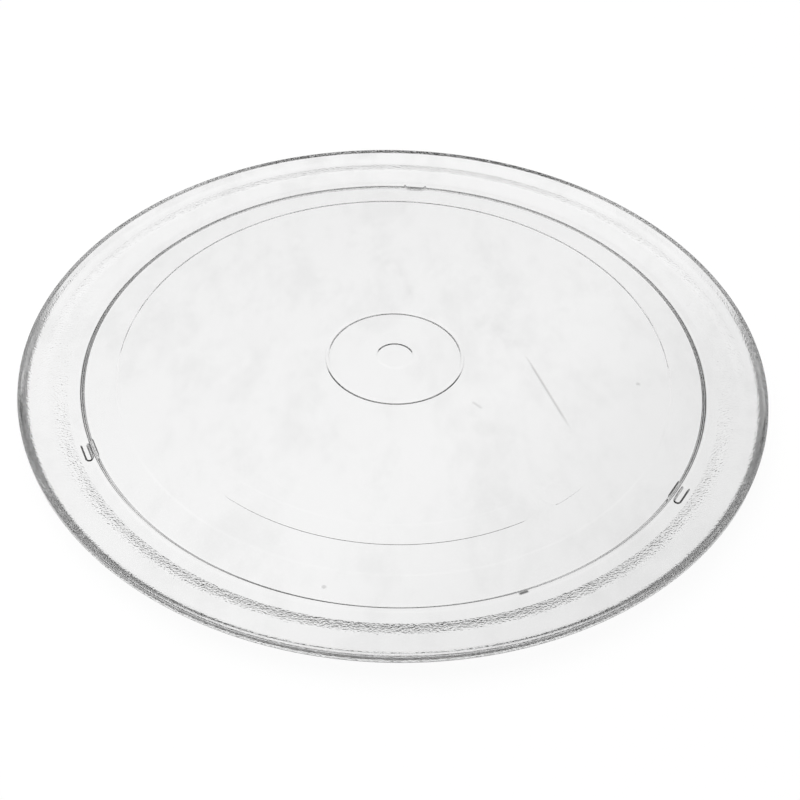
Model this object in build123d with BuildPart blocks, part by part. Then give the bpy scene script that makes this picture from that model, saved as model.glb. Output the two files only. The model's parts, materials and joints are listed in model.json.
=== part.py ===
"""Turntable plate of a microwave oven, pressed as one piece of clear glass.

On top, a flat floor turns up through a shallow well and a steeper brim to a rounded lip. Underneath, the
roller track lies inside a foot ring with a curved wall, and the rim climbs from that ring in three slopes
to a bevel below the lip. A locating ring and a dimple mark the middle, three lugs stand on the foot ring,
and two low plaques lie inside the track.

Millimetres. The Z axis is the axis the plate turns about, +Z is up, and the origin is on that axis in the
plane of the lugs' feet, on which the plate stands.
"""

from build123d import *
from math import cos, radians, sin, tan
import os

os.makedirs("parts", exist_ok=True)

# Whole plate
plate_radius = 140.0
floor_thickness = 4.2

# Top, from the lip in to the floor, with slopes in degrees
brim_width = 12.2
brim_slope = 17.0
well_width = 7.3
well_slope = 5.5

# Edge of the lip
edge_thickness = 3.8
lip_round = 0.8

# Underside, from the lip in to the foot ring
bevel_width = 2.65
bevel_round = 4.2
shelf_width = 4.55
shelf_slope = 3.0
rim_width = 7.4
rim_slope = 15.0
toe_width = 2.2
toe_slope = 20.4
foot_width = 2.7

# Wall that curves from the foot ring up to the roller track, and the relieved middle inside the track
track_recess = 2.35
wall_angle = 66.0
track_width = 11.45
centre_relief = 0.15
relief_step_width = 0.25

# Locating ring and dimple under the centre
ring_radius = 26.1
ring_width = 2.4
ring_height = 0.3
dimple_radius = 7.6
dimple_depth = 0.33
dimple_flank = 1.3

# Three lugs on the foot ring, each with a flat foot and flanks that lean out from it by the draft in degrees
lug_count = 3
lug_first_angle = 86.6
lug_drop = 0.8
lug_margin = 2.25
lug_length = 8.4
lug_width = 1.5
lug_draft = 43.0

# Two low plaques inside the track, each a short arc with round ends, as start and sweep in degrees
plaque_inset = 16.7
plaque_width = 9.0
plaque_height = 0.15
plaque_arcs = [(233.5, 65.0), (308.5, 5.5)]

# Radii that follow from those sizes, each measured in from the lip
brim_radius = plate_radius - brim_width
floor_radius = brim_radius - well_width
bevel_radius = plate_radius - bevel_width
shelf_radius = bevel_radius - shelf_width
rim_radius = shelf_radius - rim_width
foot_outer_radius = rim_radius - toe_width
foot_inner_radius = foot_outer_radius - foot_width
wall_round = track_recess / (1 - cos(radians(wall_angle)))
track_outer_radius = foot_inner_radius - wall_round * sin(radians(wall_angle))
track_inner_radius = track_outer_radius - track_width
plaque_radius = track_inner_radius - plaque_inset
lug_radius = foot_outer_radius - lug_margin - lug_width / 2

# Heights that follow from those sizes
foot_z = lug_drop
track_z = foot_z + track_recess
relief_z = track_z + centre_relief
rim_z = foot_z + toe_width * tan(radians(toe_slope))
shelf_z = rim_z + rim_width * tan(radians(rim_slope))
bevel_z = shelf_z + shelf_width * tan(radians(shelf_slope))
floor_z = track_z + floor_thickness
brim_z = floor_z + well_width * tan(radians(well_slope))
lip_z = brim_z + brim_width * tan(radians(brim_slope))
edge_z = lip_z - edge_thickness

# The section from the foot ring out along the underside, round the lip, back along the top to the axis and
# out to the edge of the track, each corner given as radius, height and fillet
section_corners = [
    (foot_inner_radius, foot_z, 0),
    (foot_outer_radius, foot_z, 0),
    (rim_radius, rim_z, 0),
    (shelf_radius, shelf_z, 0),
    (bevel_radius, bevel_z, bevel_round),
    (plate_radius, edge_z, 0),
    (plate_radius, lip_z, lip_round),
    (brim_radius, brim_z, 0),
    (floor_radius, floor_z, 0),
    (0, floor_z, 0),
    (0, relief_z, 0),
    (track_inner_radius - relief_step_width, relief_z, 0),
    (track_inner_radius, track_z, 0),
    (track_outer_radius, track_z, 0),
]

with BuildPart() as plate:
    # Floor, rim and lip are one section turned about the axis, closed by the wall beside the track
    with BuildSketch(Plane.XZ) as section:
        with BuildLine():
            FilletPolyline(
                [(radius, height) for radius, height, _ in section_corners],
                radius=[corner for _, _, corner in section_corners[1:-1]],
            )
            CenterArc((foot_inner_radius, foot_z + wall_round), wall_round, 270 - wall_angle, wall_angle)
        make_face()
    revolve(axis=Axis.Z)

    # The locating ring is a low ridge with two sloping flanks
    with BuildSketch(Plane.XZ):
        with BuildLine():
            Polyline(
                (ring_radius - ring_width / 2, relief_z),
                (ring_radius, relief_z - ring_height),
                (ring_radius + ring_width / 2, relief_z),
                close=True,
            )
        make_face()
    revolve(axis=Axis.Z)

    # The dimple narrows as it goes up into the glass
    with Locations((0, 0, relief_z)):
        Cone(
            dimple_radius,
            dimple_radius - dimple_flank,
            dimple_depth,
            align=(Align.CENTER, Align.CENTER, Align.MIN),
            mode=Mode.SUBTRACT,
        )

    # The plaques run from their low face into the glass above
    with BuildSketch(Plane.XY.offset(relief_z - plaque_height)):
        for start_angle, arc_angle in plaque_arcs:
            centre_line = CenterArc((0, 0), plaque_radius, start_angle, arc_angle, mode=Mode.PRIVATE)
            SlotArc(centre_line, plaque_width)
    extrude(amount=plaque_height + floor_thickness / 2)

# The lugs are round-ended and widen from their feet up into the foot ring and its wall
with BuildPart() as lugs:
    with BuildSketch(Plane.XY):
        with PolarLocations(lug_radius, lug_count, lug_first_angle):
            SlotOverall(lug_length, lug_width, rotation=90)
    extrude(amount=track_z + lug_drop, taper=-lug_draft)

with BuildPart() as turntable_plate:
    add(plate.part)
    add(lugs.part)

turntable_plate.part.label = "turntable_plate"
export_step(turntable_plate.part, "parts/turntable_plate.step")
print("volume", round(turntable_plate.part.volume / 1000, 1), "cubic centimetres")
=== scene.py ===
# %% [markdown]
# # A pressed-glass turntable plate
#
# The object is the glass plate that turns in a microwave oven. It is one piece of clear glass: a flat
# floor, a foot ring round it, a stippled rim that slopes up to a thin lip, and small features pressed
# into the underside. Nothing on it is painted or assembled, so its whole look comes from the shape of
# two surfaces, from light bending through them, and from what stands around it.
#
# The imported model is loaded first. It fixes where everything is: metres, +Z up, the turning axis on Z.
# Its box is printed, and so is the finished plate's at the end.

# %% Load the imported model
import json

import bpy
import numpy as np
from mathutils import Matrix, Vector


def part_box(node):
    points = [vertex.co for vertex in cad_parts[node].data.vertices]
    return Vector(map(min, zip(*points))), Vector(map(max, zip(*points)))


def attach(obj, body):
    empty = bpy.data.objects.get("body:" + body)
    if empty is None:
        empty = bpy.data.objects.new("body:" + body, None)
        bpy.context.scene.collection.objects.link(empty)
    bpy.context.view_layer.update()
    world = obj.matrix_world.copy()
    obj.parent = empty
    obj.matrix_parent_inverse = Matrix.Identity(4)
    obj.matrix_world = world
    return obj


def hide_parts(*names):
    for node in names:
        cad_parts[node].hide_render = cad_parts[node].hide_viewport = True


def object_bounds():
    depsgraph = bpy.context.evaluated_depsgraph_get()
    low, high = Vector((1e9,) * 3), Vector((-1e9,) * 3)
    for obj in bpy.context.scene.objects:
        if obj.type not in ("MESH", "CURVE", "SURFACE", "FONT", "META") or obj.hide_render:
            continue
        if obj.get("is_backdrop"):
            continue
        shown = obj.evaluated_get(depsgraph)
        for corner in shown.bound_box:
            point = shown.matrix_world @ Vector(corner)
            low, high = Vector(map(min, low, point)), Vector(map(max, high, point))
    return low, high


MM = 0.001

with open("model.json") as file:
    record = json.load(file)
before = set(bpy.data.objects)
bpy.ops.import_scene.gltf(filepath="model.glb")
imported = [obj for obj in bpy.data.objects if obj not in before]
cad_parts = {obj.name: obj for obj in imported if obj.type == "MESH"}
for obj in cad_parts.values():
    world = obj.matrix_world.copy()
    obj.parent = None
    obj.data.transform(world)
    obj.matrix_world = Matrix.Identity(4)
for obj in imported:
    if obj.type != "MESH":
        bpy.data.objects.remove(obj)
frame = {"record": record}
cad_low, cad_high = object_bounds()
mounts = {mount["name"]: mount for mount in frame["record"]["mounts"]}


def in_mm(*lengths):
    """Lengths in millimetres, as text for printing."""
    return ", ".join(f"{length / MM:.2f}" for length in lengths)


print("CAD box from", in_mm(*cad_low), "to", in_mm(*cad_high), "mm")

# %% [markdown]
# ## The section of the glass
#
# A plate like this is a solid of revolution, so it starts as a section: a line from the axis along the
# top, round the lip and back along the underside. It could be a Screw modifier on a curve, but then the
# lugs, which aren't round, would have to be joined on afterwards, and glass shows every join. Here the
# section is a list of corners with a rounding each, and the surface is worked out with numpy, so that
# every feature can be part of one unbroken skin.
#
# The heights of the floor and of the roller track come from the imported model. The stretches between are
# given by their width and slope, from the lip in. Each radius and height below is the inner end of the
# stretch that it is named after.

# %% Sizes of the top
plate_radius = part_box("turntable_plate")[1][0]
floor_z = mounts["plate_floor"]["pos_m"][2]
brim_width, brim_slope = 12.2 * MM, np.radians(17.0)
well_width, well_slope = 7.3 * MM, np.radians(5.5)

brim_radius = plate_radius - brim_width
floor_radius = brim_radius - well_width
brim_z = floor_z + well_width * np.tan(well_slope)
lip_z = brim_z + brim_width * np.tan(brim_slope)
print("radius and height in mm, floor:", in_mm(floor_radius, floor_z),
      "brim:", in_mm(brim_radius, brim_z), "lip:", in_mm(plate_radius, lip_z))

# %% Sizes of the underside
edge_thickness = 3.8 * MM
bevel_width = 2.65 * MM
shelf_width, shelf_slope = 5.55 * MM, np.radians(3.0)
ledge_width, ledge_slope = 2.0 * MM, np.radians(2.0)
ramp_width, ramp_slope = 4.4 * MM, np.radians(22.4)
toe_width, toe_slope = 2.2 * MM, np.radians(22.2)
foot_width, foot_z = 5.05 * MM, 0.8 * MM
wall_angle = np.radians(73.0)
track_width, track_z = 12.0 * MM, mounts["roller_track"]["pos_m"][2]
relief_step, relief_depth = 0.17 * MM, 0.15 * MM

bevel_radius = plate_radius - bevel_width
shelf_radius = bevel_radius - shelf_width
ledge_radius = shelf_radius - ledge_width
ramp_radius = ledge_radius - ramp_width
toe_radius = ramp_radius - toe_width
foot_radius = toe_radius - foot_width
wall_radius = foot_radius - (track_z - foot_z) / np.tan(wall_angle)
relief_radius = wall_radius - track_width

ramp_z = foot_z + toe_width * np.tan(toe_slope)
ledge_z = ramp_z + ramp_width * np.tan(ramp_slope)
shelf_z = ledge_z + ledge_width * np.tan(ledge_slope)
bevel_z = shelf_z + shelf_width * np.tan(shelf_slope)
edge_z = lip_z - edge_thickness
relief_z = track_z + relief_depth
print("inner and outer radius in mm, foot ring:", in_mm(foot_radius, toe_radius),
      "track:", in_mm(relief_radius, wall_radius))
print("glass over the track:", in_mm(floor_z - track_z), "mm")

# %% [markdown]
# ## Rounded corners
#
# Hot glass doesn't fill sharp corners, so every corner of the section is rounded. A Bevel modifier would
# give them all one width, but here each has its own: wide where the brim curves up, tight at the step
# inside the track. How wide a rounding is decides how wide a dark line it draws in the glass.

# %% A line with rounded corners


def rounded_line(corners, arc_step):
    """Points along straight runs joined by arcs.

    Each corner is (radius, height, fillet). At a corner that turns by an angle, the arc starts and ends
    fillet * tan(angle / 2) away from it. From its start, the arc goes fillet * sin(a) along the way in
    and fillet * (1 - cos(a)) to the side that it turns to, for a from 0 to the angle. Arcs get a point
    for each arc_step radians.
    """
    corners = np.asarray(corners, float)
    points = [corners[:1, :2]]
    for before, corner, after in zip(corners, corners[1:], corners[2:]):
        way_in = (corner - before)[:2] / np.linalg.norm((corner - before)[:2])
        way_out = (after - corner)[:2] / np.linalg.norm((after - corner)[:2])
        turn = np.arctan2(way_in[0] * way_out[1] - way_in[1] * way_out[0], way_in @ way_out)
        fillet = corner[2]
        start = corner[:2] - way_in * fillet * np.tan(abs(turn) / 2)
        side = np.sign(turn) * np.array([-way_in[1], way_in[0]])
        sweep = np.linspace(0, abs(turn), max(2, int(np.ceil(abs(turn) / arc_step)) + 1))[:, None]
        points.append(start + fillet * (np.sin(sweep) * way_in + (1 - np.cos(sweep)) * side))
    points.append(corners[-1:, :2])
    return np.concatenate(points)


arc_step = 0.07
edge_middle = (plate_radius, (edge_z + lip_z) / 2, 0)
top_line = rounded_line([
    (0, floor_z, 0),
    (floor_radius, floor_z, 8.0 * MM),
    (brim_radius, brim_z, 28.0 * MM),
    (plate_radius, lip_z, 0.8 * MM),
    edge_middle,
], arc_step)
under_line = rounded_line([
    edge_middle,
    (plate_radius, edge_z, 1.9 * MM),
    (bevel_radius, bevel_z, 4.2 * MM),
    (shelf_radius, shelf_z, 4.0 * MM),
    (ledge_radius, ledge_z, 10.0 * MM),
    (ramp_radius, ramp_z, 5.0 * MM),
    (toe_radius, foot_z, 2.5 * MM),
    (foot_radius, foot_z, 2.4 * MM),
    (wall_radius, track_z, 0.85 * MM),
    (relief_radius + relief_step / 2, track_z, 0.03 * MM),
    (relief_radius - relief_step / 2, relief_z, 0.03 * MM),
    (0, relief_z, 0),
], arc_step)
print("section:", len(top_line), "points on top,", len(under_line), "underneath")

# %% [markdown]
# ## What is pressed into the underside
#
# Under the floor are a low bead round the middle, a dimple on the axis, two low plaques, and three lugs on
# the foot ring. They could be separate meshes joined by a Boolean modifier, but that leaves hard creases
# and thin faces, and light in the glass picks out both. So each is a height as a function of place: a
# distance from the feature's outline, turned into a height by a smooth step or a slope.

# %% Smooth steps and blends


def smooth_step(distance, low, high):
    """0 below low, 1 above high, and 3t^2 - 2t^3 in between, with t the share of the way."""
    t = np.clip((distance - low) / (high - low), 0, 1)
    return t * t * (3 - 2 * t)


def soft_least(first, second, blend):
    """The lesser of two heights, lowered a little where they cross, as a fillet would.

    It is half of (first + second - sqrt((first - second)^2 + blend^2)).
    """
    return (first + second - np.sqrt((first - second) ** 2 + blend ** 2)) / 2


print("a smooth step at quarters of the way:", smooth_step(np.linspace(0, 1, 5), 0, 1))

# %% [markdown]
# ## Bead and dimple
#
# The bead keeps the plate centred on what turns it, and the dimple marks the axis. Both are round, so a
# height over the radius is enough. The bead has soft flanks, because it shows as a thin grey circle.

# %% Bead and dimple
bead_radius, bead_width, bead_height = 26.1 * MM, 2.4 * MM, 0.36 * MM
dimple_radius, dimple_depth, dimple_edge = 7.6 * MM, 0.33 * MM, 1.3 * MM


def middle_drop(radius):
    """How far the bead stands down, less how far the dimple goes up.

    Across its width, the bead is its height times cos^2, from -90 to 90 degrees. The dimple is its depth
    inside its edge, with a smooth step over the edge.
    """
    across_bead = np.clip((radius - bead_radius) / bead_width, -0.5, 0.5)
    bead = bead_height * np.cos(np.pi * across_bead) ** 2
    dimple = dimple_depth * (1 - smooth_step(radius, dimple_radius - dimple_edge, dimple_radius))
    return bead - dimple


print("bead", in_mm(middle_drop(bead_radius)), "mm high, dimple", in_mm(-middle_drop(0)), "mm deep")

# %% [markdown]
# ## Plaques
#
# Two raised fields, thin as a sheet of paper, lie inside the track at the front. Only their edges show, as
# fine lines. Each is a stretch of a ring with round ends, so its outline is a distance from an arc, and
# that is simpler than a drawn curve and fits the round grid.

# %% Plaques
plaque_inset = 16.7 * MM
plaque_radius = relief_radius - plaque_inset
plaque_width, plaque_height, plaque_edge = 9.0 * MM, 0.15 * MM, 0.6 * MM
plaque_arcs = [(233.5, 65.0), (308.5, 5.5)]


def plaque_drop(radius, angle, start, sweep):
    """Height of a plaque whose middle line is an arc, given as start and sweep in degrees.

    The distance inside its outline is half its width less the distance to the arc, which is the root of
    (way past the arc's end)^2 + (difference in radius)^2. Over the edge's width it becomes the height.
    """
    middle = np.radians(start + sweep / 2)
    turn = (angle - middle + np.pi) % (2 * np.pi) - np.pi
    past_end = np.maximum(np.abs(turn) - np.radians(sweep / 2), 0) * plaque_radius
    inside = plaque_width / 2 - np.hypot(past_end, radius - plaque_radius)
    return plaque_height * smooth_step(inside, 0, plaque_edge)


print(len(plaque_arcs), "plaques round radius", in_mm(plaque_radius), "mm")

# %% [markdown]
# ## Lugs
#
# The plate stands on three lugs under the foot ring. From above, each shows as a small U, because its
# round flanks turn the light away and its flat foot lets it through. A lug is worked out as a surface of
# its own, a flat foot with flanks that lean outwards, and the lower of that and the underside is kept.

# %% Lugs
lug_count, lug_first_angle = 3, 86.6
lug_angles = np.radians(lug_first_angle + 360 / lug_count * np.arange(lug_count))
lug_margin = 2.6 * MM
lug_radius = toe_radius - lug_margin
lug_length, lug_width = 8.4 * MM, 1.5 * MM
lug_flank, lug_blend = np.radians(46.0), 0.12 * MM
lug_top = 4.0 * MM


def lug_surface(x, y, angle):
    """Height of a lug over the plane that it stands on: 0 on its flat foot, rising outside it.

    The foot is a round-ended bar across the radius. Outside its outline, the height is the distance from
    the outline times the tangent of the flank's angle, blended with the foot where they meet.
    """
    along_foot = -x * np.sin(angle) + y * np.cos(angle)
    out = x * np.cos(angle) + y * np.sin(angle) - lug_radius
    past_end = np.maximum(np.abs(along_foot) - (lug_length - lug_width) / 2, 0)
    outside = np.hypot(past_end, out) - lug_width / 2
    return -soft_least(-outside * np.tan(lug_flank), 0, lug_blend)


print("lugs at", np.round(np.degrees(lug_angles), 1), "degrees, round radius", in_mm(lug_radius), "mm")

# %% [markdown]
# ## The skin
#
# The plate's outside is one closed grid. Its rows are the points of the section and its columns are
# directions round the axis. An even grid fine enough for the lugs would have millions of faces, so rows
# and columns crowd together where the lugs, plaques, bead and dimple need them, and are sparse on the
# plain glass, which is flat or evenly curved there. The first and last rows close on one point each.

# %% Directions of the columns
plain_columns = 288
lug_column_step, plaque_column_step, least_column_step = 0.16, 0.35, 0.1


def crowd(centre, reach, step):
    """Evenly spaced values from centre - reach to centre + reach, no more than a step apart."""
    return centre + np.linspace(-reach, reach, int(np.ceil(2 * reach / step)) + 1)


def thinned(values, least):
    """Sorted values without those that are closer than least to the one before."""
    values = np.sort(values)
    kept = np.concatenate([[True], np.diff(values) > least])
    return values[kept]


flank_spread = 1.6 * MM
lug_reach = np.degrees((lug_length / 2 + flank_spread) / lug_radius)
cap_reach = np.degrees(plaque_width / 2 / plaque_radius)
cap_angles = [start - cap_reach / 2 for start, sweep in plaque_arcs]
cap_angles += [start + sweep + cap_reach / 2 for start, sweep in plaque_arcs]
columns = np.concatenate([
    np.linspace(0, 360, plain_columns, endpoint=False),
    *[crowd(angle, lug_reach, lug_column_step) for angle in np.degrees(lug_angles)],
    *[crowd(angle, 0.7 * cap_reach, plaque_column_step) for angle in cap_angles],
])
columns = np.radians(thinned(columns % 360, least_column_step))
print(len(columns), "columns, from", plain_columns, "even ones and more round the lugs and plaques")

# %% Radii and heights of the rows
floor_radii = np.array([10.0, 30.0, 60.0, 90.0, 105.0, 115.0]) * MM
plain_radii = np.array([3.0, 15.0, 40.0, 60.0, 75.0, 98.0, 104.6, 106.2, 111.0, 115.5]) * MM
plaque_border, least_row_step = 0.8 * MM, 0.03 * MM
feature_radii = np.concatenate([
    crowd(lug_radius, reach=2.4 * MM, step=0.2 * MM),
    crowd(plaque_radius + plaque_width / 2, reach=plaque_border, step=0.13 * MM),
    crowd(plaque_radius, reach=plaque_width / 2 - plaque_border, step=0.8 * MM),
    crowd(plaque_radius - plaque_width / 2, reach=plaque_border, step=0.13 * MM),
    crowd(bead_radius, reach=0.55 * bead_width, step=0.18 * MM),
    crowd(dimple_radius - dimple_edge / 2, reach=0.7 * dimple_edge, step=0.15 * MM),
])

floor_rows = np.stack([floor_radii, np.full(len(floor_radii), floor_z)], 1)
top_rows = np.concatenate([floor_rows, top_line[1:-1]])
lip_rows = under_line[under_line[:, 0] > bevel_radius]
inner_line = under_line[::-1][:len(under_line) - len(lip_rows)]
inner_radii = thinned(np.concatenate([inner_line[1:, 0], feature_radii, plain_radii]), least_row_step)
inner_heights = np.interp(inner_radii, inner_line[:, 0], inner_line[:, 1])
inner_rows = np.stack([inner_radii, inner_heights], 1)[::-1]
under_rows = np.concatenate([lip_rows, inner_rows])
print(len(top_rows), "rows on top,", len(under_rows), "underneath")

# %% Points of the grid
radius = np.concatenate([top_rows[:, 0], under_rows[:, 0]])[:, None]
plain_height = np.concatenate([top_rows[:, 1], under_rows[:, 1]])[:, None]
is_under = (np.arange(len(radius)) >= len(top_rows))[:, None]
x, y = radius * np.cos(columns), radius * np.sin(columns)

height = plain_height - middle_drop(radius)
for start, sweep in plaque_arcs:
    height = height - plaque_drop(radius, columns, start, sweep)
for angle in lug_angles:
    lug = lug_surface(x, y, angle)
    height = np.where(lug < lug_top, soft_least(height, lug, lug_blend), height)
height = np.where(is_under, height, plain_height)
rows = np.stack([x, y, height], -1)
print("heights of the skin from", in_mm(height.min()), "to", in_mm(height.max()), "mm")

# %% [markdown]
# ## From grid to mesh
#
# Each face joins four neighbours of the grid, and a fan of triangles closes it at the axis on either side.
# Light has to know inside from outside, so the mesh is closed and its faces point outwards: the volume,
# added up from all triangles, comes out positive only then. Blender takes the arrays whole, with
# foreach_set, which is far quicker than adding faces one by one.

# %% The closed surface


def closed_skin(rows, first_pole, last_pole):
    """Vertices, quads and triangles of rows of points that close round an axis, with a point at each end.

    Vertex 0 and the last vertex are the poles. Row i, column j is vertex 1 + i * columns + j, and each
    face joins two neighbours of one row to the same two of the next, taken the way that faces outwards.
    """
    row_count, column_count = rows.shape[:2]
    vertices = np.concatenate([[first_pole], rows.reshape(-1, 3), [last_pole]])
    grid = 1 + np.arange(row_count * column_count).reshape(row_count, column_count)
    beside = np.roll(grid, -1, 1)
    quads = np.stack([grid[:-1], grid[1:], beside[1:], beside[:-1]], -1).reshape(-1, 4)
    first_fan = np.stack([np.zeros(column_count, int), grid[0], beside[0]], -1)
    last_fan = np.stack([beside[-1], grid[-1], np.full(column_count, len(vertices) - 1)], -1)
    return vertices, quads, np.concatenate([first_fan, last_fan])


floor_pole = (0, 0, floor_z)
dimple_pole = (0, 0, relief_z + dimple_depth)
vertices, quads, fans = closed_skin(rows, floor_pole, dimple_pole)
corners = vertices[np.concatenate([quads[:, [0, 1, 2]], quads[:, [0, 2, 3]], fans])]
volume = np.sum(corners[:, 0] * np.cross(corners[:, 1], corners[:, 2])) / 6
print(len(corners), "triangles round", round(volume / MM ** 3 / 1000, 1), "cubic centimetres of glass")

# %% The plate


def mesh_from(name, vertices, quads, triangles):
    """A mesh filled with whole arrays: points, the corners of every face, and where each face starts."""
    mesh = bpy.data.meshes.new(name)
    mesh.vertices.add(len(vertices))
    mesh.vertices.foreach_set("co", vertices.astype(np.float32).ravel())
    corners = np.concatenate([quads.ravel(), triangles.ravel()])
    starts = np.concatenate([4 * np.arange(len(quads)), 4 * len(quads) + 3 * np.arange(len(triangles))])
    mesh.loops.add(len(corners))
    mesh.loops.foreach_set("vertex_index", corners.astype(np.int32))
    mesh.polygons.add(len(starts))
    mesh.polygons.foreach_set("loop_start", starts.astype(np.int32))
    mesh.polygons.foreach_set("use_smooth", np.ones(len(starts), bool))
    mesh.update(calc_edges=True)
    mesh.validate()
    return mesh


plate_mesh = mesh_from("turntable_plate", vertices, quads, fans)
plate = bpy.data.objects.new("glass_plate", plate_mesh)
bpy.context.collection.objects.link(plate)

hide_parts("turntable_plate")
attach(plate, "root")
print("glass plate:", len(plate_mesh.vertices), "vertices,", len(plate_mesh.polygons), "faces")

# %% [markdown]
# ## Where the glass is stippled
#
# The underside of the rim is pressed in a roughened mould, so its surface has a fine stipple that
# scatters the light, while the floor and the lip are smooth. The stipple is far finer than the grid, so
# it is a bump in the material. How strong it is at each place is kept with the mesh as an attribute,
# because it follows the section: full on the slopes beside the foot ring, weaker on the flatter glass
# further out, and gone before the lip.

# %% Weight of the stipple
outer_weakening = 0.3
begins = smooth_step(radius, toe_radius - 0.4 * MM, toe_radius + 0.8 * MM)
weakens = outer_weakening * smooth_step(radius, ledge_radius - 0.8 * MM, ledge_radius + 1.2 * MM)
ends = smooth_step(radius, plate_radius - 1.4 * MM, plate_radius - 0.2 * MM)
row_weight = np.where(is_under, begins * (1 - weakens) * (1 - ends), 0)

point_weight = np.broadcast_to(row_weight, rows.shape[:2]).ravel()
stipple = plate_mesh.attributes.new("stipple", "FLOAT", "POINT")
stipple.data.foreach_set("value", np.concatenate([[0], point_weight, [0]]).astype(np.float32))
stippled_radii = radius[row_weight > 0.5]
print("stippled from radius", in_mm(stippled_radii.min()), "to", in_mm(stippled_radii.max()), "mm")

# %% [markdown]
# ## Shader sums
#
# A material's node tree is easier to read as arithmetic. One small class holds a socket, and adding or
# multiplying two of them adds the node that does it. Numbers may stand on either side.

# %% A socket that can be added and multiplied


class Term:
    """One value in a node tree. Operators on terms add the Math nodes that work them out."""

    def __init__(self, tree, socket=None):
        self.tree = tree
        self.socket = socket

    def node(self, kind, settings=(), sockets=(), output=0):
        """Add a node: its settings first, then each socket's value or link."""
        made = self.tree.nodes.new(kind)
        for name, setting in dict(settings).items():
            setattr(made, name, setting)
        for name, value in dict(sockets).items():
            if isinstance(value, Term):
                self.tree.links.new(value.socket, made.inputs[name])
            else:
                made.inputs[name].default_value = value
        return Term(self.tree, made.outputs[output] if made.outputs else None)

    def math(self, operation, *others):
        """A Math node on this term and any others, in that order."""
        return self.node("ShaderNodeMath", {"operation": operation}, enumerate((self, *others)))

    def step(self, low, high):
        """0 at low, 1 at high, with a smooth change between."""
        sockets = {"Value": self, "From Min": low, "From Max": high}
        return self.node("ShaderNodeMapRange", {"interpolation_type": "SMOOTHSTEP"}, sockets)

    def __add__(self, other):
        return self.math("ADD", other)

    def __sub__(self, other):
        return self.math("SUBTRACT", other)

    def __rsub__(self, other):
        return self.node("ShaderNodeMath", {"operation": "SUBTRACT"}, {0: other, 1: self})

    def __mul__(self, other):
        return self.math("MULTIPLY", other)

    __radd__ = __add__
    __rmul__ = __mul__


def new_tree(block):
    """Empty the node tree of a material or a world and give a term to start from."""
    block.use_nodes = True
    block.node_tree.nodes.clear()
    return Term(block.node_tree)


glass = bpy.data.materials.new("pressed_glass")
glass_tree = new_tree(glass)
print("empty material:", glass.name)

# %% [markdown]
# ## The stipple of the rim
#
# Close up, the stipple is an even field of small rounded dents, about three quarters of a millimetre
# apart. A noise with little detail gives such a field. It reads the plate's own coordinates, so it stays
# on the glass when the plate turns, and the attribute says where it shows.

# %% Stipple as a bump
dents_per_metre, dent_depth = 1350.0, 0.17 * MM
place = glass_tree.node("ShaderNodeTexCoord", output="Object")
dents = glass_tree.node("ShaderNodeTexNoise", {}, {"Vector": place, "Scale": dents_per_metre, "Detail": 1.0})
dent_weight = glass_tree.node("ShaderNodeAttribute", {"attribute_name": "stipple"}, output="Fac")
surface = glass_tree.node("ShaderNodeBump", {}, {
    "Strength": 1.0, "Distance": dent_depth, "Height": dents * dent_weight}, output="Normal")
print("stipple:", len(glass.node_tree.nodes), "nodes")

# %% [markdown]
# ## Marks of use
#
# The plate has been used and wiped. Its top has one long scratch and a short smear right of the middle, two
# specks on the floor, a dark fleck by the bend at the front, and faint smudges where a cloth went over it.
# An image would be the usual way, but each mark is simple enough for a formula: a line or a spot that
# fades at its edges. Places and sizes are in millimetres from the middle of the plate.

# %% Lines and spots on the plate
across, along, above = (
    glass_tree.node("ShaderNodeSeparateXYZ", {}, {"Vector": place}, output=name) for name in ("X", "Y", "Z"))


def line_mark(first, last, width):
    """1 along a straight line between two places, fading to 0 at its width and at its ends.

    With u the unit vector along the line, a place's way along it is (place - first) . u, and its distance
    from it is the size of (place - first) x u. The ends fade over the first and last quarters.
    """
    first, last = np.array([first, last]) * MM
    length = np.linalg.norm(last - first)
    ux, uy = (last - first) / length
    from_x, from_y = across - first[0], along - first[1]
    way = from_x * ux + from_y * uy
    aside = (from_x * uy - from_y * ux).math("ABSOLUTE")
    ends = way.step(0, 0.25 * length) * (1 - way.step(0.75 * length, length))
    return ends * (1 - aside.step(0, width * MM))


def spot_mark(centre, reach):
    """1 round a place, fading to 0 at its reach, by the distance sqrt(x^2 + y^2) from it."""
    from_x, from_y = across - centre[0] * MM, along - centre[1] * MM
    distance = (from_x * from_x + from_y * from_y).math("SQRT")
    return 1 - distance.step(0.3 * reach * MM, reach * MM)


print("coordinates of the marks:", len(glass.node_tree.nodes), "nodes so far")

# %% Smudges and wipes
streaked = glass_tree.node("ShaderNodeMapping", {}, {
    "Vector": place, "Rotation": (0, 0, np.radians(-35)), "Scale": (1.0, 0.6, 1.0)})
cloud = glass_tree.node("ShaderNodeTexNoise", {}, {
    "Vector": streaked, "Scale": 60.0, "Detail": 6.0, "Roughness": 0.62})
patchy = cloud.step(0.42, 0.72)

wipes = line_mark((-23.1, 85.5), (5.0, 42.0), width=5.0)
wipes = wipes + line_mark((5.0, 45.0), (5.2, 24.5), width=4.0)
wipes = wipes + line_mark((26.0, 28.5), (53.0, 0.5), width=6.0)
wipes = wipes + spot_mark((-49.5, 22.0), reach=7.0)
smudge_strength, wipe_strength = 0.11, 0.12
smudges = (smudge_strength + wipe_strength * wipes) * patchy
print("smudges and wipes:", len(glass.node_tree.nodes), "nodes so far")

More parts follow.
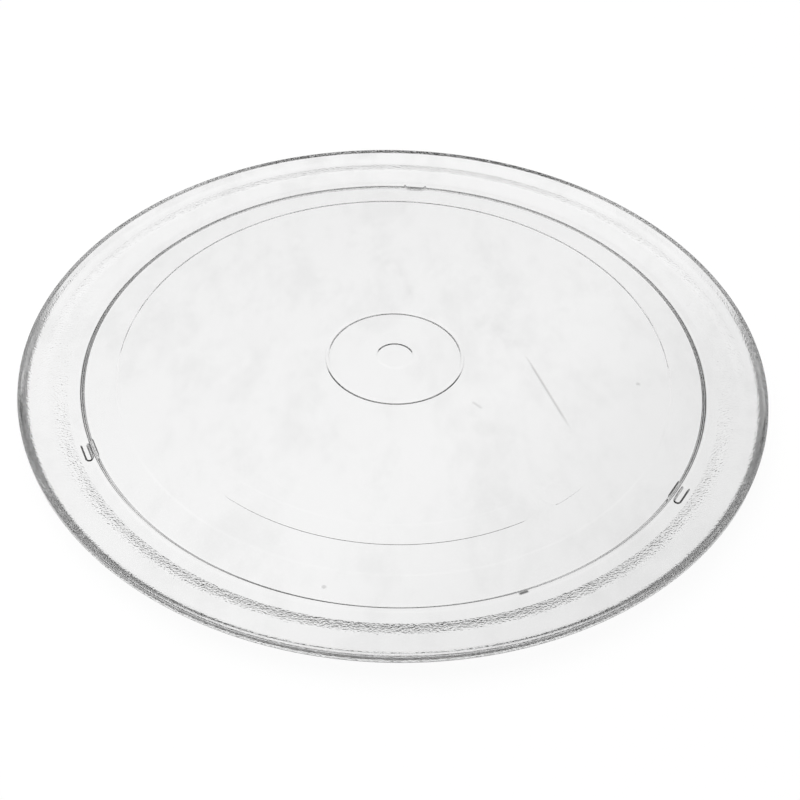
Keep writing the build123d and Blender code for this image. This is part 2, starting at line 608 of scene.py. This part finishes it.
# %% Scratch, smear, specks and fleck
scratch = 0.5 * line_mark((49.6, 2.0), (64.5, -40.7), width=0.8)
smear = 0.3 * line_mark((28.5, -26.2), (32.8, -30.3), width=1.0)
smear = smear + 0.07 * spot_mark((33.1, -40.1), reach=6.0)
specks = 0.35 * spot_mark((91.8, -14.4), reach=1.2)
specks = specks + 0.45 * spot_mark((-20.2, -112.5), reach=1.1)
fleck = 1.3 * line_mark((40.6, -113.4), (44.4, -111.7), width=0.9)

on_top = above.step(5.0 * MM, 6.0 * MM)
marks = on_top * (smudges + scratch + smear + specks + fleck).math("MINIMUM", 1.0)
print("all marks:", len(glass.node_tree.nodes), "nodes so far")

# %% [markdown]
# ## The glass
#
# Clear glass with no tint bends light by an index of 1.5 and is polished, so what the eye sees is where
# light is turned back inside it: the lip, the bend beside the track and the lugs. A Glass shader would do
# as well, but the Principled shader with full transmission keeps its base colour in an export. The marks
# darken that colour, as dirt and scratches do when light comes through from below.

# %% Glass material
clean_glass, marked_glass = (1, 1, 1, 1), (0.05, 0.05, 0.05, 1)
color_a, color_b, color_result = 6, 7, 2
tint = glass_tree.node("ShaderNodeMix", {"data_type": "RGBA"}, {
    "Factor": marks, color_a: clean_glass, color_b: marked_glass}, output=color_result)
body = glass_tree.node("ShaderNodeBsdfPrincipled", {}, {
    "Base Color": tint, "Roughness": 0.0, "IOR": 1.5, "Transmission Weight": 1.0, "Normal": surface})
glass_tree.node("ShaderNodeOutputMaterial", {}, {"Surface": body})
plate_mesh.materials.append(glass)
print("glass:", len(glass.node_tree.nodes), "nodes,", len(glass.node_tree.links), "links")

# %% [markdown]
# ## The floor
#
# The plate stands on a plain white sheet, so wide that its edge is never seen. It lies just below the
# lugs' feet, because two surfaces at one height flicker. A plain diffuse sheet would turn out grey, and more
# light to whiten it would fall on the plate too. So to the camera, and to rays that come through the glass
# or off it, the sheet gives off its own white light. To light it is plain pale paper, and a little of that
# shows to the camera too, so that the plate keeps its shadow. Seen through the glass or off it, that white
# has a painted shade: a little darker all over, and more so on the right, away from the lamp.

# %% Floor sheet
floor_half, floor_gap = 10.0, 0.1 * MM
corner_signs = [(-1, -1), (1, -1), (1, 1), (-1, 1)]
floor_corners = [(floor_half * i, floor_half * j, -floor_gap) for i, j in corner_signs]
floor_mesh = bpy.data.meshes.new("floor")
floor_mesh.from_pydata(floor_corners, [], [(0, 1, 2, 3)])
floor = bpy.data.objects.new("floor", floor_mesh)
bpy.context.collection.objects.link(floor)
floor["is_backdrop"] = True
print("floor", 2 * floor_half, "m wide,", in_mm(floor_gap), "mm below the lugs")

# %% White paper
paper = bpy.data.materials.new("white_paper")
paper_tree = new_tree(paper)
camera_ray, glossy_ray, transmission_ray = (
    paper_tree.node("ShaderNodeLightPath", output=name)
    for name in ("Is Camera Ray", "Is Glossy Ray", "Is Transmission Ray"))
seen = (camera_ray + glossy_ray + transmission_ray).math("MINIMUM", 1.0)

away_from_lamp = (0.79, -0.61, 0)
spot = paper_tree.node("ShaderNodeTexCoord", output="Object")
rightward = paper_tree.node("ShaderNodeVectorMath", {"operation": "DOT_PRODUCT"}, {
    0: spot, 1: away_from_lamp}, output="Value")
# Painted shade: for rays through or off the glass, the sheet's white is darkened a little everywhere and
# more on the right, away from the lamp.
painted_shade = (1 - camera_ray) * (0.01 + 0.1 * rightward.step(0.03, 0.12))
shadow_share = 0.05

lit = paper_tree.node("ShaderNodeBsdfDiffuse", {}, {"Color": (0.9, 0.9, 0.9, 1)})
# The sheet's emission colour: plain white to the camera, with the painted shade for every other ray.
sheet_color_with_painted_shade = paper_tree.node("ShaderNodeMix", {"data_type": "RGBA"}, {
    "Factor": painted_shade, color_a: (1, 1, 1, 1), color_b: (0, 0, 0, 1)}, output=color_result)
white = paper_tree.node("ShaderNodeEmission", {}, {"Color": sheet_color_with_painted_shade, "Strength": 1.0})
mixed = paper_tree.node("ShaderNodeMixShader", {}, {0: seen - shadow_share * camera_ray, 1: lit, 2: white})
paper_tree.node("ShaderNodeOutputMaterial", {}, {"Surface": mixed})
floor_mesh.materials.append(paper)
print("paper:", len(paper.node_tree.nodes), "nodes")

# %% [markdown]
# ## What stands round the plate
#
# Glass shows its surroundings more than itself. A plain white world would make the rim vanish, because
# every ray that leaves the glass would end on white, and a black one would draw it in ink. A studio has
# both: pale panels at the sides and dark gaps between them. Here the panels are soft round glows in the
# world, each with a direction, a size and a strength, strongest to the left and right of the plate. The
# camera itself sees white behind the floor.

# %% World with soft panels
world = bpy.data.worlds.new("studio")
bpy.context.scene.world = world
world_tree = new_tree(world)
toward = world_tree.node("ShaderNodeTexCoord", output="Generated")
panel_core = 3


def glow(azimuth, height, reach):
    """1 in the core of a panel and 0 beyond its reach, with a smooth change between, all in degrees.

    The nearness to the panel's middle is the dot product of two unit vectors, the cosine of the angle.
    """
    azimuth, height = np.radians([azimuth, height])
    middle = (np.cos(azimuth) * np.cos(height), np.sin(azimuth) * np.cos(height), np.sin(height))
    nearness = world_tree.node("ShaderNodeVectorMath", {"operation": "DOT_PRODUCT"}, {
        0: toward, 1: middle}, output="Value")
    return nearness.step(np.cos(np.radians(reach)), np.cos(np.radians(panel_core)))


# Azimuth, height and reach in degrees, and strength
right_panels = [(0, 8, 32, 0.50), (330, 8, 32, 0.10), (345, 30, 32, 0.48), (0, 55, 36, 0.13)]
left_panels = [(180, 8, 32, 0.56), (165, 30, 32, 0.10), (195, 30, 32, 0.38), (180, 55, 36, 0.26)]
front_panels = [(300, 55, 36, 0.47), (240, 55, 36, 0.20)]
back_panels = [(60, 55, 36, 0.04), (120, 55, 36, 0.06)]
panels = right_panels + left_panels + front_panels + back_panels
panel_light = sum(strength * glow(*panel) for *panel, strength in panels)

seen_by_camera = world_tree.node("ShaderNodeLightPath", output="Is Camera Ray")
studio = world_tree.node("ShaderNodeBackground", {}, {"Color": (1, 1, 1, 1), "Strength": panel_light})
backdrop = world_tree.node("ShaderNodeBackground", {}, {"Color": (1, 1, 1, 1), "Strength": 1.0})
mixed = world_tree.node("ShaderNodeMixShader", {}, {0: seen_by_camera, 1: studio, 2: backdrop})
world_tree.node("ShaderNodeOutputWorld", {}, {"Surface": mixed})
print("world:", len(panels), "panels,", len(world.node_tree.nodes), "nodes")

# %% [markdown]
# ## The lamp
#
# One large soft box hangs over the plate, a little to the left and behind, and throws its faint shadow. It
# could be left to the world, but a lamp of its own lets the shadow fall to one side. It is hidden from
# reflections and from rays through the glass, where it would be a bright disk on the floor of the plate.

# %% Soft box
soft_box = bpy.data.lights.new("soft_box", "AREA")
soft_box.shape = "DISK"
soft_box.size = 1.5
soft_box.energy = 24.0
lamp = bpy.data.objects.new("soft_box", soft_box)
lamp.location = (-0.3, 0.2, 1.3)
lamp.rotation_euler = (-0.15, -0.23, 0)
lamp.visible_glossy = False
lamp.visible_transmission = False
bpy.context.collection.objects.link(lamp)
print("soft box", soft_box.size, "m across,", soft_box.energy, "W, at", in_mm(*lamp.location), "mm")

# %% [markdown]
# ## The camera
#
# The plate is seen from the front and well above, close enough for its near side to look wider than its
# far side. A Track To constraint would aim the camera, but it can't give the small pan, tilt and roll
# that put the rim where it belongs in the square picture. So three directions, ahead, right and up, are
# turned by those angles one after the other and put into the camera's matrix.

# %% Camera
picture_side = 800
focal_pixels = 1135.4
elevation, distance = np.radians(41.47), 439.1 * MM
pan, tilt, roll = np.radians([-0.32, -2.21, -1.62])
aim_height = 5.24 * MM


def turned(vector, axis, angle):
    """The vector v turned about a unit axis k by an angle a.

    It is v cos(a) + (k x v) sin(a) + k (k . v) (1 - cos(a)).
    """
    aside = np.cross(axis, vector)
    return vector * np.cos(angle) + aside * np.sin(angle) + axis * (axis @ vector) * (1 - np.cos(angle))


ahead = np.array([0, np.cos(elevation), -np.sin(elevation)])
eye = np.array([0, 0, aim_height]) - distance * ahead
right = np.array([1.0, 0, 0])
up = np.cross(right, ahead)
ahead, right = turned(ahead, up, pan), turned(right, up, pan)
ahead, up = turned(ahead, right, tilt), turned(up, right, tilt)
right, up = turned(right, ahead, roll), turned(up, ahead, roll)

camera_data = bpy.data.cameras.new("camera")
camera_data.sensor_width = 36.0
camera_data.lens = focal_pixels / picture_side * camera_data.sensor_width
camera_data.clip_start = 0.01
camera = bpy.data.objects.new("camera", camera_data)
bpy.context.collection.objects.link(camera)
placed = np.eye(4)
placed[:3] = np.stack([right, up, -ahead, eye], 1)
camera.matrix_world = Matrix(placed.tolist())
bpy.context.scene.camera = camera
print("camera at", in_mm(*eye), "mm, lens", round(camera_data.lens, 1), "mm")

# %% [markdown]
# ## Light paths and colours
#
# In the rim, light is turned back many times before it leaves, and a ray that is cut off too soon ends
# black. So the limits on bounces are raised. Colours are shown as written, without a film curve.

# %% Light paths and colours
light_paths = bpy.context.scene.cycles
light_paths.max_bounces = 20
light_paths.glossy_bounces = 16
light_paths.transmission_bounces = 16
bpy.context.scene.view_settings.view_transform = "Standard"
print("up to", light_paths.max_bounces, "bounces, view", bpy.context.scene.view_settings.view_transform)

# %% [markdown]
# ## Sizes and the end
#
# The finished plate has to fill the same box as the imported model. Its box is printed here, as the
# imported model's was at the start.

# %% Print the sizes and finish
visual_low, visual_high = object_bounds()
print("visual box from", in_mm(*visual_low), "to", in_mm(*visual_high), "mm")
